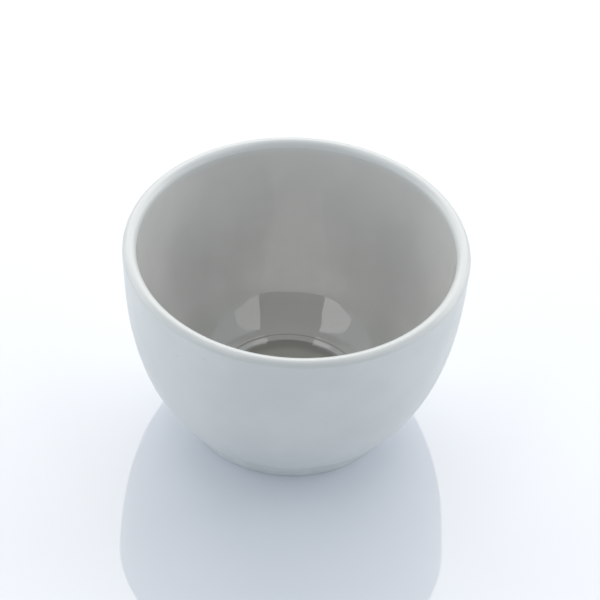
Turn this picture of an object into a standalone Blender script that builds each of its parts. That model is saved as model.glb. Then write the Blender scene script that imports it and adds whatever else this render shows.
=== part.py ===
"""Low-form porcelain crucible, 50 mm across the rim and 31.4 mm tall.

The fired body is turned on a recessed foot.  A satin-matt glaze coat covers its outside and rolls
over the rim, a gloss glaze coat lines the inside, and the foot stays bare.  Metres, +Z up, with the
origin at the centre of the foot on the surface that the crucible stands on.
"""

from math import cos, radians, sin, tau

import bmesh
import bpy
from mathutils import Vector
from mathutils.geometry import interpolate_bezier

# Rim: the wall ends in a half round.
RIM_RADIUS = 0.0250
HEIGHT = 0.0314
RIM_ROUND = 0.0010

# Foot: a short flared band that stands on a flat ring.
FOOT_RADIUS = 0.01545
FOOT_EDGE = 0.0003
FOOT_TOP_RADIUS = 0.01625
FOOT_TOP_HEIGHT = 0.0028
LAND_INNER_RADIUS = 0.0124
RECESS_RADIUS = 0.0114
RECESS_HEIGHT = 0.0008

# Outer wall, seen from the foot up.  A lean is the wall's slope away from vertical, in degrees.
CREASE_RADIUS = 0.0164
CREASE_HEIGHT = 0.0030
CREASE_LEAN = 53.0
HEEL_RADIUS = 0.0186
HEEL_HEIGHT = 0.0050
HEEL_LEAN = 35.0
OUTER_RIM_LEAN = 6.4
HEEL_FULLNESS = 0.0010
WALL_FULLNESS_LOW = 0.0111
WALL_FULLNESS_HIGH = 0.0036

# Inner wall: a flat floor that sweeps up into the side.
FLOOR_RADIUS = 0.0105
FLOOR_HEIGHT = 0.0041
INNER_RIM_LEAN = 5.3
FLOOR_FULLNESS = 0.0025
INNER_WALL_FULLNESS = 0.0264

# Glaze coats.
GLAZE = 0.0003
COAT_GAP = 0.0001
SEAM_ANGLE = 7.0

# Facets: around the axis, along each curved stretch, and over the rim.
SIDES = 64
HEEL_STEPS = 3
WALL_STEPS = 8
INNER_STEPS = 11
RIM_STEPS = 4
SHARP_ANGLE = 36.0


def clear_scene():
    for old in list(bpy.data.objects):
        bpy.data.objects.remove(old, do_unlink=True)


def leaning(lean, length):
    """A step of the given length along a wall that leans out by lean degrees; x is the radius."""
    return Vector((sin(radians(lean)) * length, 0.0, cos(radians(lean)) * length))


def curve(start, lean_start, reach_start, end, lean_end, reach_end, steps):
    """Points along a smooth stretch of wall with the given leans at its ends."""
    near_start = start + leaning(lean_start, reach_start)
    near_end = end - leaning(lean_end, reach_end)
    return interpolate_bezier(start, near_start, near_end, end, steps + 1)


def rim_point(angle, radius=RIM_ROUND):
    """A point on the rim's half round; 0 degrees points outwards and 90 degrees up."""
    centre = Vector((RIM_RADIUS - RIM_ROUND, 0.0, HEIGHT - RIM_ROUND))
    return centre + Vector((cos(radians(angle)), 0.0, sin(radians(angle)))) * radius


def outer_line():
    """The outside from the crease above the foot up to the rim's half round."""
    crease = Vector((CREASE_RADIUS, 0.0, CREASE_HEIGHT))
    heel = Vector((HEEL_RADIUS, 0.0, HEEL_HEIGHT))
    shoulder = rim_point(-OUTER_RIM_LEAN)
    low = curve(crease, CREASE_LEAN, HEEL_FULLNESS, heel, HEEL_LEAN, HEEL_FULLNESS, HEEL_STEPS)
    high = curve(heel, HEEL_LEAN, WALL_FULLNESS_LOW, shoulder, OUTER_RIM_LEAN, WALL_FULLNESS_HIGH,
                 WALL_STEPS)
    return low + high[1:]


def rim_line(end_angle):
    """The rim's half round, from the outer wall over the top and in to end_angle."""
    rise = [90.0 * step / RIM_STEPS for step in range(RIM_STEPS)]
    fall = [90.0 + (end_angle - 90.0) * step / RIM_STEPS for step in range(RIM_STEPS + 1)]
    return [rim_point(angle) for angle in rise + fall]


def inner_line():
    """The inside from just under the rim's half round down the wall to the middle of the floor."""
    centre = Vector((0.0, 0.0, FLOOR_HEIGHT))
    floor_edge = Vector((FLOOR_RADIUS, 0.0, FLOOR_HEIGHT))
    shoulder = rim_point(180.0 - INNER_RIM_LEAN)
    wall = curve(floor_edge, 90.0, FLOOR_FULLNESS, shoulder, INNER_RIM_LEAN, INNER_WALL_FULLNESS,
                 INNER_STEPS)
    return wall[::-1] + [centre]


def inset(line, depth):
    """The same line moved into the wall by depth, point for point."""
    moved = []
    for here, point in enumerate(line):
        before = line[max(here - 1, 0)]
        after = line[min(here + 1, len(line) - 1)]
        along = (after - before).normalized()
        into = Vector((-along.z, 0.0, along.x))
        place = point + into * depth
        on_axis = point.x == 0.0
        moved.append(Vector((0.0, 0.0, point.z - depth)) if on_axis else place)
    return moved


def foot_line():
    """The bare foot, from the middle of the recess out to the top of the flared band."""
    edge = [
        (0.0, RECESS_HEIGHT),
        (RECESS_RADIUS, RECESS_HEIGHT),
        (LAND_INNER_RADIUS, 0.0),
        (FOOT_RADIUS - FOOT_EDGE, 0.0),
        (FOOT_RADIUS, FOOT_EDGE),
        (FOOT_TOP_RADIUS, FOOT_TOP_HEIGHT),
    ]
    return [Vector((radius, 0.0, height)) for radius, height in edge]


def turned(name, line, closed, colour, roughness, coat):
    """Turn a line about the Z axis into one solid with its own material."""
    mesh = bpy.data.meshes.new(name)
    shape = bmesh.new()
    points = [shape.verts.new(point) for point in line]
    edges = [shape.edges.new(pair) for pair in zip(points, points[1:])]
    if closed:
        edges.append(shape.edges.new((points[-1], points[0])))
    bmesh.ops.spin(shape, geom=points + edges, axis=(0.0, 0.0, 1.0), cent=(0.0, 0.0, 0.0),
                   angle=tau, steps=SIDES, use_merge=True, use_duplicate=False)
    bmesh.ops.remove_doubles(shape, verts=shape.verts, dist=1e-7)
    bmesh.ops.recalc_face_normals(shape, faces=shape.faces)
    shape.to_mesh(mesh)
    shape.free()
    mesh.shade_smooth()
    mesh.set_sharp_from_angle(angle=radians(SHARP_ANGLE))
    mesh.materials.append(ceramic(name, colour, roughness, coat))
    piece = bpy.data.objects.new(name, mesh)
    bpy.context.scene.collection.objects.link(piece)
    return piece


def ceramic(name, colour, roughness, coat):
    material = bpy.data.materials.new(name)
    material.use_nodes = True
    shader = material.node_tree.nodes["Principled BSDF"]
    shader.inputs["Base Color"].default_value = (*colour, 1.0)
    shader.inputs["Roughness"].default_value = roughness
    shader.inputs["Metallic"].default_value = 0.0
    shader.inputs["Coat Weight"].default_value = coat
    return material


def porcelain_body():
    """The fired body, set back under both coats and bare from the crease down."""
    covered = outer_line() + rim_line(180.0 - INNER_RIM_LEAN)[:-1] + inner_line()
    line = foot_line() + inset(covered, GLAZE + COAT_GAP)
    return turned("porcelain_body", line, False, (0.72, 0.72, 0.70), 0.75, 0.0)


def outer_glaze():
    """The matt coat, from the crease up the outside and over the rim."""
    face = outer_line() + rim_line(180.0 - INNER_RIM_LEAN - SEAM_ANGLE)
    return turned("outer_glaze", face + inset(face, GLAZE)[::-1], True, (0.74, 0.78, 0.80), 0.5, 0.1)


def inner_glaze():
    """The gloss coat, from the seam under the rim down to the middle of the floor."""
    face = inner_line()
    return turned("inner_glaze", face[::-1] + inset(face, GLAZE), False, (0.55, 0.55, 0.53), 0.1, 0.5)


clear_scene()
porcelain_body()
outer_glaze()
inner_glaze()
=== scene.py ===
"""Looks of the porcelain crucible: fine turned meshes, procedural glazes, a glossy table, soft light."""

from math import cos, exp, pi, radians, sin, tau

import bmesh
import bpy
from mathutils import Matrix, Vector
from mathutils.geometry import interpolate_bezier


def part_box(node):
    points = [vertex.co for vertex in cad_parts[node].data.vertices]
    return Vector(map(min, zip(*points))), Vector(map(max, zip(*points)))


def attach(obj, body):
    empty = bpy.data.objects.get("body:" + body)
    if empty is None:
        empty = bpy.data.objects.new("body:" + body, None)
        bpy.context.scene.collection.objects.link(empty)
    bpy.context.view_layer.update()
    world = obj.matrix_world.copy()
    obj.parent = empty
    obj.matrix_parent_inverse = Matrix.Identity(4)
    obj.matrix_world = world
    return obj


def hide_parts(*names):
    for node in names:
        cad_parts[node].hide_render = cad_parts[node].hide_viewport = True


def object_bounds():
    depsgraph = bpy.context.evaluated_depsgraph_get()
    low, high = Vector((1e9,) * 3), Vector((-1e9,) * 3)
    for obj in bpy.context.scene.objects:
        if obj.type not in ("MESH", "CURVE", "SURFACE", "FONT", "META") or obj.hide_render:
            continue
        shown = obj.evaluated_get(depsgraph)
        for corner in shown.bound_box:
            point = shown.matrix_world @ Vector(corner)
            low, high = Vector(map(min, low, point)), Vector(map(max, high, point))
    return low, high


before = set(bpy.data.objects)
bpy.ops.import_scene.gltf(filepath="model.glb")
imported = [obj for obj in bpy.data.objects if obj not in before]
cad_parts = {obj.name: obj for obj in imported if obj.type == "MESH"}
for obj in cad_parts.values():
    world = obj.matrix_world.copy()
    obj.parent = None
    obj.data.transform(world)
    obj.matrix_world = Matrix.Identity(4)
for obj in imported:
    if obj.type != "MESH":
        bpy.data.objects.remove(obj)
CAD_LOW, CAD_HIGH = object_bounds()

# Sizes that the frame gives, in metres.
RIM_RADIUS = CAD_HIGH.x
HEIGHT = CAD_HIGH.z
CREASE_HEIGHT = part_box("outer_glaze")[0].z
GLAZE_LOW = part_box("inner_glaze")[0].z

# The crucible's profile, in metres.  A lean is the wall's slope away from vertical, in degrees.
GLAZE = 0.0003
COAT_GAP = 0.00002
RIM_ROUND = 0.0010
SEAM_ANGLE = 0.8
CREASE_RADIUS = 0.0164
CREASE_LEAN = 53.0
HEEL_RADIUS = 0.0186
HEEL_HEIGHT = 0.0050
HEEL_LEAN = 35.0
OUTER_RIM_LEAN = 6.4
HEEL_FULLNESS = 0.0010
WALL_FULLNESS_LOW = 0.0111
WALL_FULLNESS_HIGH = 0.0036
FLOOR_RADIUS = 0.0105
FLOOR_HEIGHT = GLAZE_LOW + GLAZE
INNER_RIM_LEAN = 5.3
FLOOR_FULLNESS = 0.0025
INNER_WALL_FULLNESS = 0.0264
FOOT_RADIUS = 0.01545
FOOT_EDGE = 0.0003
FOOT_TOP_RADIUS = 0.01625
FOOT_TOP_HEIGHT = 0.0028
LAND_INNER_RADIUS = 0.0124
RECESS_RADIUS = 0.0114
RECESS_HEIGHT = 0.0008

# Relief of the glaze around the floor disc, in metres.
STEP_RADIUS = 0.0101
STEP_WIDTH = 0.00022
STEP_DEPTH = 0.0004
RIDGE_RADIUS = 0.01055
GROOVE_RADIUS = 0.0109
RIDGE_WIDTH = 0.0002
RIDGE_HEIGHT = 0.00006

# Steps around the axis and along each stretch of the profile.  A ring smaller than ON_AXIS metres is
# a single vertex, and an edge sharper than SHARP_ANGLE degrees is not smoothed.
SIDES = 240
ON_AXIS = 1e-9
HEEL_STEPS = 16
WALL_STEPS = 64
RIM_STEPS = 24
FLOOR_STEPS = 60
INNER_STEPS = 110
SHARP_ANGLE = 40.0

# Colours of the glazes and the clay, as linear red, green and blue.
MATT_LOW = (0.60, 0.625, 0.63)
MATT_HIGH = (0.645, 0.67, 0.675)
SPECK = (0.46, 0.42, 0.36)
# The next colour is painted shade: the crown of the rim darker than the outside glaze; the top of the inner
# glaze blends towards it too.
CROWN_SHADE_TONE = (0.57, 0.59, 0.60)
GLOSS_LOW = (0.475, 0.472, 0.463)
GLOSS_HIGH = (0.51, 0.507, 0.498)
# The next colour is painted shade low in the bowl.
GLOSS_DEEP_SHADE = (0.425, 0.425, 0.41)
# The next two colours are partly pooled glaze and partly painted shade on the floor, the second darkest along
# the floor's edge.
POOL_AND_SHADE = (0.27, 0.27, 0.24)
POOL_EDGE_SHADE = (0.18, 0.178, 0.16)
CLAY_LOW = (0.57, 0.60, 0.61)
CLAY_HIGH = (0.64, 0.67, 0.68)
# The next colour darkens the foot's lowest band, along the table.
FOOT_BOTTOM_TONE = (0.50, 0.48, 0.45)
TABLE = (0.68, 0.72, 0.81)
BLACK = (0.01, 0.01, 0.01)

# Where the tones of the inner glaze change, in metres, painted shade among them; the groove's darkening,
# partly stain and partly painted shade, is a share of the full colour.
BREAK_DEPTH = 0.0022
DEEP_HEIGHT = 0.0060
DEEP_FADE = 0.0040
POOL_RADIUS = 0.0101
POOL_FADE = 0.0003
POOL_EDGE_OUTER = 0.0010
POOL_EDGE_INNER = 0.0027
# The groove's darkening is partly stained glaze and partly painted shade.
GROOVE_STAIN_AND_SHADE = 0.7

# Surfaces.  Scales are in cells to the metre, bumps and the height of the foot's darker bottom band in
# metres; RIM_POLISH and the darkening of that band are shares.  A span is the part of the noise that is
# spread over the whole range.
CLOUD_SPAN = (0.35, 0.65)
ROUGH_SPAN = (0.3, 0.7)
MATT_ROUGHNESS = (0.36, 0.46)
RIM_POLISH = 0.45
MATT_CLOUD_SCALE = 90.0
MATT_ROUGH_SCALE = 260.0
SPECK_SCALE = 300.0
SPECK_SIZE = 0.04
GRAIN_SCALE = 240.0
GRAIN_STRETCH = 9.0
GRAIN_BUMP = 0.00003
FINE_SCALE = 2600.0
FINE_BUMP = 0.000003
GLOSS_ROUGHNESS = (0.015, 0.035)
GLOSS_IOR = 1.75
GLOSS_CLOUD_SCALE = 110.0
GLOSS_ROUGH_SCALE = 200.0
WAVE_SCALE = 70.0
WAVE_BUMP = 0.000008
CLAY_ROUGHNESS = (0.72, 0.9)
CLAY_CLOUD_SCALE = 300.0
CLAY_ROUGH_SCALE = 900.0
CLAY_BUMP_SCALE = 1800.0
CLAY_BUMP = 0.00002
FOOT_BOTTOM_SHARE = 0.6
FOOT_BOTTOM_BAND = 0.0004
TABLE_ROUGHNESS = 0.03
TABLE_IOR = 1.8
TABLE_HALF = 3.0

# Camera, in degrees, metres and millimetres of lens.
CAMERA_ELEVATION = 42.48
CAMERA_DISTANCE = 0.496
CAMERA_ROLL = 3.16
CAMERA_LENS = 203.66
CAMERA_SENSOR = 36.0
AIM = Vector((0.00086, 0.0, 0.02093))

# Soft boxes: name, place and size in metres, radiance, colour.
PANELS = [
    ("back", (0.0, 0.95, 0.80), (1.7, 0.9), 2.6, (1.0, 0.95, 0.89)),
    ("back_left", (-1.0, 0.55, 0.50), (0.75, 0.8), 1.5, (1.0, 0.95, 0.90)),
    ("back_right", (1.0, 0.55, 0.50), (0.75, 0.8), 2.2, (1.0, 0.97, 0.95)),
    ("side_left", (-1.2, -0.1, 0.30), (1.2, 0.5), 1.3, (0.94, 0.98, 1.0)),
    ("side_right", (1.2, -0.1, 0.30), (1.2, 0.5), 1.1, (0.94, 0.98, 1.0)),
]
PANEL_AIM = Vector((0.0, 0.0, 0.015))

# Two bright cards hang over the crucible with a dark flag between them; x and y in metres.
# The first four corners of each card run along the flag.
OVERHEAD_HEIGHT = 1.0
SOFT_LEFT = [(-0.11, 0.45), (-0.26, -0.05), (-0.42, -0.55), (-0.85, -1.50), (-1.06, -1.50), (-1.06, -0.45)]
SOFT_RIGHT = [(0.14, 0.45), (0.30, -0.05), (0.46, -0.45), (1.00, -1.50), (1.06, -1.50), (1.06, -0.45)]
CARD_LEFT_RADIANCE = 1.45
CARD_RIGHT_RADIANCE = 1.15
CARD_COLOUR = (0.98, 1.0, 0.99)
ROOM_COLOUR = (0.83, 0.95, 1.0)
ROOM_RADIANCE = 0.60
DISPLAY_GAMMA = 1.35


def leaning(lean, length):
    """A step of the given length along a wall that leans out by lean degrees; x is the radius."""
    return Vector((sin(radians(lean)) * length, 0.0, cos(radians(lean)) * length))


def curve(start, lean_start, reach_start, end, lean_end, reach_end, steps):
    near_start = start + leaning(lean_start, reach_start)
    near_end = end - leaning(lean_end, reach_end)
    return interpolate_bezier(start, near_start, near_end, end, steps + 1)


def rim_point(angle):
    """The point of the rim whose outward direction rises by angle degrees from level."""
    centre = Vector((RIM_RADIUS - RIM_ROUND, 0.0, HEIGHT - RIM_ROUND))
    return centre + Vector((cos(radians(angle)), 0.0, sin(radians(angle)))) * RIM_ROUND


def outer_line():
    crease = Vector((CREASE_RADIUS, 0.0, CREASE_HEIGHT))
    heel = Vector((HEEL_RADIUS, 0.0, HEEL_HEIGHT))
    shoulder = rim_point(-OUTER_RIM_LEAN)
    low = curve(crease, CREASE_LEAN, HEEL_FULLNESS, heel, HEEL_LEAN, HEEL_FULLNESS, HEEL_STEPS)
    high = curve(heel, HEEL_LEAN, WALL_FULLNESS_LOW, shoulder, OUTER_RIM_LEAN, WALL_FULLNESS_HIGH, WALL_STEPS)
    return low + high[1:]


def rim_line(end_angle):
    turn = end_angle + OUTER_RIM_LEAN
    return [rim_point(turn * step / RIM_STEPS - OUTER_RIM_LEAN) for step in range(1, RIM_STEPS + 1)]


def swell(radius, centre, width):
    """A smooth bump of height 1 around the given radius."""
    return exp(-((radius - centre) / width) ** 2)


def floor_relief(radius):
    """How far the glaze stands above the plain floor: a step down, a ridge and a groove."""
    step = 1.0 / (1.0 + exp((radius - STEP_RADIUS) / STEP_WIDTH))
    ridge = swell(radius, RIDGE_RADIUS, RIDGE_WIDTH)
    groove = swell(radius, GROOVE_RADIUS, RIDGE_WIDTH)
    return RIDGE_HEIGHT * (ridge - groove) - STEP_DEPTH * step


def inner_line():
    """The glazed inside, from the rim down to the axis."""
    edge = Vector((FLOOR_RADIUS, 0.0, FLOOR_HEIGHT))
    shoulder = rim_point(180.0 - INNER_RIM_LEAN)
    floor = [Vector((FLOOR_RADIUS * step / FLOOR_STEPS, 0.0, FLOOR_HEIGHT)) for step in range(FLOOR_STEPS)]
    wall = curve(edge, 90.0, FLOOR_FULLNESS, shoulder, INNER_RIM_LEAN, INNER_WALL_FULLNESS, INNER_STEPS)
    return [Vector((point.x, 0.0, point.z + floor_relief(point.x))) for point in floor + wall][::-1]


def foot_line():
    edge = [
        (0.0, RECESS_HEIGHT),
        (RECESS_RADIUS, RECESS_HEIGHT),
        (LAND_INNER_RADIUS, 0.0),
        (FOOT_RADIUS - FOOT_EDGE, 0.0),
        (FOOT_RADIUS, FOOT_EDGE),
        (FOOT_TOP_RADIUS, FOOT_TOP_HEIGHT),
    ]
    return [Vector((radius, 0.0, height)) for radius, height in edge]


def inset(line, depth):
    """The same line moved into the material by depth, point for point."""
    moved = []
    for here, point in enumerate(line):
        before = line[max(here - 1, 0)]
        after = line[min(here + 1, len(line) - 1)]
        along = (after - before).normalized()
        into = Vector((-along.z, 0.0, along.x))
        moved.append(Vector((0.0, 0.0, point.z - depth)) if point.x == 0.0 else point + into * depth)
    return moved


def turned_rings(line):
    """Vertices of a line turned about the Z axis, and the ring of vertices for each of its points."""
    verts, rings = [], []
    for point in line:
        if point.x < ON_AXIS:
            rings.append([len(verts)] * SIDES)
            verts.append((0.0, 0.0, point.z))
        else:
            rings.append(list(range(len(verts), len(verts) + SIDES)))
            verts += [(point.x * cos(tau * k / SIDES), point.x * sin(tau * k / SIDES), point.z)
                      for k in range(SIDES)]
    return verts, rings


def lathe(name, line, closed):
    """Turn a line about the Z axis.  A point on the axis becomes one vertex, closed by a fan."""
    verts, rings = turned_rings(line)
    pairs = list(zip(rings, rings[1:] + rings[:1])) if closed else list(zip(rings, rings[1:]))
    faces = []
    for low, high in pairs:
        for k in range(SIDES):
            corners = [low[k], low[(k + 1) % SIDES], high[(k + 1) % SIDES], high[k]]
            face = list(dict.fromkeys(corners))
            if len(face) > 2:
                faces.append(face)
    mesh = bpy.data.meshes.new(name)
    mesh.from_pydata(verts, [], faces)
    shape = bmesh.new()
    shape.from_mesh(mesh)
    bmesh.ops.recalc_face_normals(shape, faces=shape.faces)
    shape.to_mesh(mesh)
    shape.free()
    mesh.shade_smooth()
    mesh.set_sharp_from_angle(angle=radians(SHARP_ANGLE))
    piece = bpy.data.objects.new(name, mesh)
    bpy.context.scene.collection.objects.link(piece)
    return piece


def new_material(name):
    material = bpy.data.materials.new(name)
    material.use_nodes = True
    return material, material.node_tree.nodes, material.node_tree.links


def place_of(nodes, links, scale=(1.0, 1.0, 1.0)):
    """Object coordinates in metres, stretched by the given scale."""
    coordinates = nodes.new("ShaderNodeTexCoord")
    stretch = nodes.new("ShaderNodeMapping")
    stretch.inputs["Scale"].default_value = scale
    links.new(coordinates.outputs["Object"], stretch.inputs["Vector"])
    return stretch.outputs["Vector"]


def radius_of(nodes, links):
    """Distance from the axis, in metres."""
    length = nodes.new("ShaderNodeVectorMath")
    length.operation = "LENGTH"
    links.new(place_of(nodes, links, (1.0, 1.0, 0.0)), length.inputs[0])
    return length.outputs["Value"]


def height_of(nodes, links, place):
    apart = nodes.new("ShaderNodeSeparateXYZ")
    links.new(place, apart.inputs["Vector"])
    return apart.outputs["Z"]


def remap(nodes, links, value, low, high, to_low, to_high):
    """Carry low to high over to to_low to to_high, smoothly and without going past them."""
    steps = nodes.new("ShaderNodeMapRange")
    steps.interpolation_type = "SMOOTHSTEP"
    for name, number in (("From Min", low), ("From Max", high), ("To Min", to_low), ("To Max", to_high)):
        steps.inputs[name].default_value = number
    links.new(value, steps.inputs["Value"])
    return steps.outputs["Result"]


def noise(nodes, links, place, scale, detail=3.0):
    """Soft noise around 0.5."""
    texture = nodes.new("ShaderNodeTexNoise")
    texture.inputs["Scale"].default_value = scale
    texture.inputs["Detail"].default_value = detail
    links.new(place, texture.inputs["Vector"])
    return texture.outputs["Fac"]


def clouds(nodes, links, place, scale):
    """Broad patches between 0 and 1."""
    return remap(nodes, links, noise(nodes, links, place, scale), *CLOUD_SPAN, 0.0, 1.0)


def uneven(nodes, links, place, scale, limits):
    """A roughness that wanders between two limits."""
    return remap(nodes, links, noise(nodes, links, place, scale), *ROUGH_SPAN, *limits)


def specks(nodes, links, place, scale, size):
    """1 inside tiny round specks scattered over the surface, 0 elsewhere."""
    cells = nodes.new("ShaderNodeTexVoronoi")
    cells.inputs["Scale"].default_value = scale
    links.new(place, cells.inputs["Vector"])
    return remap(nodes, links, cells.outputs["Distance"], size / 2, size, 1.0, 0.0)


def product(nodes, links, first, second):
    times = nodes.new("ShaderNodeMath")
    times.operation = "MULTIPLY"
    links.new(first, times.inputs[0])
    links.new(second, times.inputs[1])
    return times.outputs["Value"]


def blend(nodes, links, factor, first, second):
    """Mix two colours; each is a colour or the output of a node."""
    mix = nodes.new("ShaderNodeMix")
    mix.data_type = "RGBA"
    links.new(factor, mix.inputs["Factor"])
    ends = [socket for socket in mix.inputs if socket.type == "RGBA"]
    for socket, colour in zip(ends, (first, second)):
        if isinstance(colour, tuple):
            socket.default_value = (*colour, 1.0)
        else:
            links.new(colour, socket)
    return [socket for socket in mix.outputs if socket.type == "RGBA"][0]


def relief(nodes, links, height, distance, under=None):
    """Bump of the given height in metres, laid over another bump if there is one."""
    bump = nodes.new("ShaderNodeBump")
    bump.inputs["Strength"].default_value = 1.0
    bump.inputs["Distance"].default_value = distance
    links.new(height, bump.inputs["Height"])
    if under is not None:
        links.new(under, bump.inputs["Normal"])
    return bump.outputs["Normal"]


def matt_glaze():
    """Satin white glaze of the outside and the rim: soft clouds, rare specks, a faint turned grain, and
    painted shade darkening the crown of the rim.
    """
    material, nodes, links = new_material("matt_glaze")
    shader = nodes["Principled BSDF"]
    place = place_of(nodes, links)
    height = height_of(nodes, links, place)
    crown_low, crown_high = HEIGHT - RIM_ROUND, HEIGHT - RIM_ROUND / 2
    colour = blend(nodes, links, clouds(nodes, links, place, MATT_CLOUD_SCALE), MATT_LOW, MATT_HIGH)
    # Painted shade: the crown of the rim is darkened.
    crown_shade = remap(nodes, links, height, crown_low, crown_high, 0.0, 1.0)
    colour = blend(nodes, links, crown_shade, colour, CROWN_SHADE_TONE)
    dots = specks(nodes, links, place, SPECK_SCALE, SPECK_SIZE)
    links.new(blend(nodes, links, dots, colour, SPECK), shader.inputs["Base Color"])
    rough = uneven(nodes, links, place, MATT_ROUGH_SCALE, MATT_ROUGHNESS)
    polish = remap(nodes, links, height, crown_low, crown_high, 1.0, RIM_POLISH)
    links.new(product(nodes, links, rough, polish), shader.inputs["Roughness"])
    turned = place_of(nodes, links, (1.0, 1.0, GRAIN_STRETCH))
    grain = relief(nodes, links, noise(nodes, links, turned, GRAIN_SCALE, detail=2.0), GRAIN_BUMP)
    fine = relief(nodes, links, noise(nodes, links, place, FINE_SCALE, detail=2.0), FINE_BUMP, grain)
    links.new(fine, shader.inputs["Normal"])
    return material


def wall_tone(nodes, links, place):
    """Inner glaze above the floor: lighter where it thins at the rim, and darker low down, which is painted
    shade deep in the bowl.
    """
    height = height_of(nodes, links, place)
    tone = blend(nodes, links, clouds(nodes, links, place, GLOSS_CLOUD_SCALE), GLOSS_LOW, GLOSS_HIGH)
    breaking = remap(nodes, links, height, HEIGHT - BREAK_DEPTH, HEIGHT, 0.0, 1.0)
    tone = blend(nodes, links, breaking, tone, CROWN_SHADE_TONE)
    # Painted shade: the wall darkens low in the bowl.
    deep_shade = remap(nodes, links, height, DEEP_HEIGHT, DEEP_HEIGHT + DEEP_FADE, 1.0, 0.0)
    return blend(nodes, links, deep_shade, tone, GLOSS_DEEP_SHADE)


def floor_tone(nodes, links, tone):
    """The floor's darker tone laid over the wall's tone: partly pooled glaze and partly painted shade at the
    bottom of the bowl, darkest along the floor's edge, with the groove darker still, partly stained glaze and
    partly painted shade.
    """
    radius = radius_of(nodes, links)
    pooled_and_shaded = remap(nodes, links, radius, POOL_RADIUS - POOL_FADE, POOL_RADIUS, 1.0, 0.0)
    edge = remap(nodes, links, radius, POOL_RADIUS - POOL_EDGE_INNER, POOL_RADIUS - POOL_EDGE_OUTER, 0.0, 1.0)
    # Partly pooled glaze, partly painted shade: the floor darkens, most along its edge.
    tone = blend(nodes, links, pooled_and_shaded, tone, blend(nodes, links, edge, POOL_AND_SHADE, POOL_EDGE_SHADE))
    # Partly stained glaze, partly painted shade: the groove darkens.
    outside = remap(nodes, links, radius, GROOVE_RADIUS, GROOVE_RADIUS + RIDGE_WIDTH, GROOVE_STAIN_AND_SHADE, 0.0)
    within = remap(nodes, links, radius, GROOVE_RADIUS - RIDGE_WIDTH, GROOVE_RADIUS, 0.0, 1.0)
    return blend(nodes, links, product(nodes, links, outside, within), tone, POOL_EDGE_SHADE)


def gloss_glaze():
    """Glossy glaze of the inside, thicker and darker where it pooled on the floor; the floor's darkness and
    its groove are partly painted shade, and the wall is painted darker low down.
    """
    material, nodes, links = new_material("gloss_glaze")
    shader = nodes["Principled BSDF"]
    shader.inputs["IOR"].default_value = GLOSS_IOR
    place = place_of(nodes, links)
    tone = floor_tone(nodes, links, wall_tone(nodes, links, place))
    links.new(tone, shader.inputs["Base Color"])
    rough = uneven(nodes, links, place, GLOSS_ROUGH_SCALE, GLOSS_ROUGHNESS)
    links.new(rough, shader.inputs["Roughness"])
    waves = relief(nodes, links, noise(nodes, links, place, WAVE_SCALE, detail=1.0), WAVE_BUMP)
    links.new(waves, shader.inputs["Normal"])
    return material


def bare_porcelain():
    """Unglazed foot: dry and grainy, darker on its lowest band, along the table."""
    material, nodes, links = new_material("bare_porcelain")
    shader = nodes["Principled BSDF"]
    place = place_of(nodes, links)
    clay = blend(nodes, links, clouds(nodes, links, place, CLAY_CLOUD_SCALE), CLAY_LOW, CLAY_HIGH)
    # The foot darkens on its lowest band, along the table.
    bottom_band = remap(nodes, links, height_of(nodes, links, place), 0.0, FOOT_BOTTOM_BAND, FOOT_BOTTOM_SHARE, 0.0)
    links.new(blend(nodes, links, bottom_band, clay, FOOT_BOTTOM_TONE), shader.inputs["Base Color"])
    rough = uneven(nodes, links, place, CLAY_ROUGH_SCALE, CLAY_ROUGHNESS)
    links.new(rough, shader.inputs["Roughness"])
    grain = relief(nodes, links, noise(nodes, links, place, CLAY_BUMP_SCALE), CLAY_BUMP)
    links.new(grain, shader.inputs["Normal"])
    return material


def build_body():
    covered = outer_line() + rim_line(180.0 - INNER_RIM_LEAN)[:-1] + inner_line()
    body = lathe("crucible_body", foot_line() + inset(covered, GLAZE + COAT_GAP), False)
    body.data.materials.append(bare_porcelain())
    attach(body, "root")
    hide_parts("porcelain_body")


def build_outer():
    face = outer_line() + rim_line(180.0 - INNER_RIM_LEAN - SEAM_ANGLE)
    coat = lathe("matt_outer_coat", face + inset(face, GLAZE)[::-1], True)
    coat.data.materials.append(matt_glaze())
    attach(coat, "root")
    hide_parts("outer_glaze")


def build_inner():
    face = inner_line()
    coat = lathe("gloss_inner_coat", face[::-1] + inset(face, GLAZE), False)
    coat.data.materials.append(gloss_glaze())
    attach(coat, "root")
    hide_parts("inner_glaze")


def build_camera():
    data = bpy.data.cameras.new("camera")
    data.lens = CAMERA_LENS
    data.sensor_width = CAMERA_SENSOR
    data.clip_start = 0.01
    data.clip_end = 10.0
    camera = bpy.data.objects.new("camera", data)
    bpy.context.scene.collection.objects.link(camera)
    middle = Vector((0.0, 0.0, HEIGHT / 2))
    tilt = radians(CAMERA_ELEVATION)
    place = middle + Vector((0.0, -cos(tilt), sin(tilt))) * CAMERA_DISTANCE
    look = (AIM - place).to_track_quat("-Z", "Y")
    roll = Matrix.Rotation(radians(CAMERA_ROLL), 4, "Z")
    camera.matrix_world = Matrix.Translation(place) @ look.to_matrix().to_4x4() @ roll
    bpy.context.scene.camera = camera


def flat_sheet(name, outline, height, material):
    """A level sheet at the given height; its outline is in metres."""
    mesh = bpy.data.meshes.new(name)
    mesh.from_pydata([(x, y, height) for x, y in outline], [], [list(range(len(outline)))])
    mesh.materials.append(material)
    sheet = bpy.data.objects.new(name, mesh)
    bpy.context.scene.collection.objects.link(sheet)
    return sheet


def plain(name, colour, roughness):
    """A material that is the same all over, and its shader."""
    material, nodes, _ = new_material(name)
    shader = nodes["Principled BSDF"]
    shader.inputs["Base Color"].default_value = (*colour, 1.0)
    shader.inputs["Roughness"].default_value = roughness
    return material, shader


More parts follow.
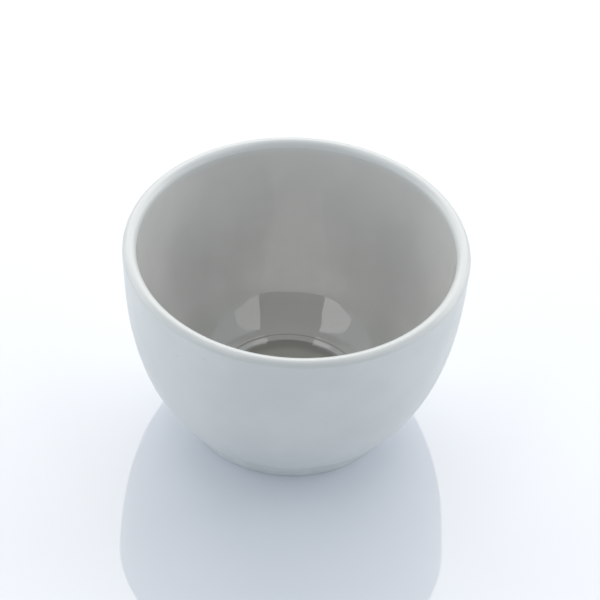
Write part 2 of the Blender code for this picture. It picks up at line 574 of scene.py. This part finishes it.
def build_table():
    corners = [(-TABLE_HALF, -TABLE_HALF), (TABLE_HALF, -TABLE_HALF),
               (TABLE_HALF, TABLE_HALF), (-TABLE_HALF, TABLE_HALF)]
    material, shader = plain("table_gloss", TABLE, TABLE_ROUGHNESS)
    shader.inputs["IOR"].default_value = TABLE_IOR
    table = flat_sheet("table", corners, 0.0, material)


def panel(name, place, size, radiance, colour):
    """A soft box that faces the crucible and is hidden from the camera."""
    data = bpy.data.lights.new(name, "AREA")
    data.shape = "RECTANGLE"
    data.size, data.size_y = size
    data.energy = radiance * pi * size[0] * size[1]
    data.color = colour
    light = bpy.data.objects.new(name, data)
    bpy.context.scene.collection.objects.link(light)
    light.location = place
    light.rotation_mode = "QUATERNION"
    light.rotation_quaternion = (PANEL_AIM - Vector(place)).to_track_quat("-Z", "Y")
    light.visible_camera = False


def overhead(name, outline, material):
    """A card over the crucible, hidden from the camera."""
    card = flat_sheet(name, outline, OVERHEAD_HEIGHT, material)
    card.visible_camera = False


def glow(name, radiance):
    material, nodes, links = new_material(name)
    emission = nodes.new("ShaderNodeEmission")
    emission.inputs["Color"].default_value = (*CARD_COLOUR, 1.0)
    emission.inputs["Strength"].default_value = radiance
    links.new(emission.outputs["Emission"], nodes["Material Output"].inputs["Surface"])
    return material


def build_room():
    world = bpy.data.worlds.new("room")
    world.use_nodes = True
    background = world.node_tree.nodes["Background"]
    background.inputs["Color"].default_value = (*ROOM_COLOUR, 1.0)
    background.inputs["Strength"].default_value = ROOM_RADIANCE
    bpy.context.scene.world = world


def build_light():
    for name, place, size, radiance, colour in PANELS:
        panel(name, place, size, radiance, colour)
    overhead("over_left", SOFT_LEFT, glow("glow_left", CARD_LEFT_RADIANCE))
    overhead("over_right", SOFT_RIGHT, glow("glow_right", CARD_RIGHT_RADIANCE))
    cloth, _ = plain("flag_cloth", BLACK, 1.0)
    overhead("flag", SOFT_LEFT[:4][::-1] + SOFT_RIGHT[:4], cloth)
    build_room()


build_body()
build_outer()
build_inner()
build_camera()
build_table()
build_light()
bpy.context.scene.view_settings.view_transform = "Standard"
bpy.context.scene.view_settings.gamma = DISPLAY_GAMMA
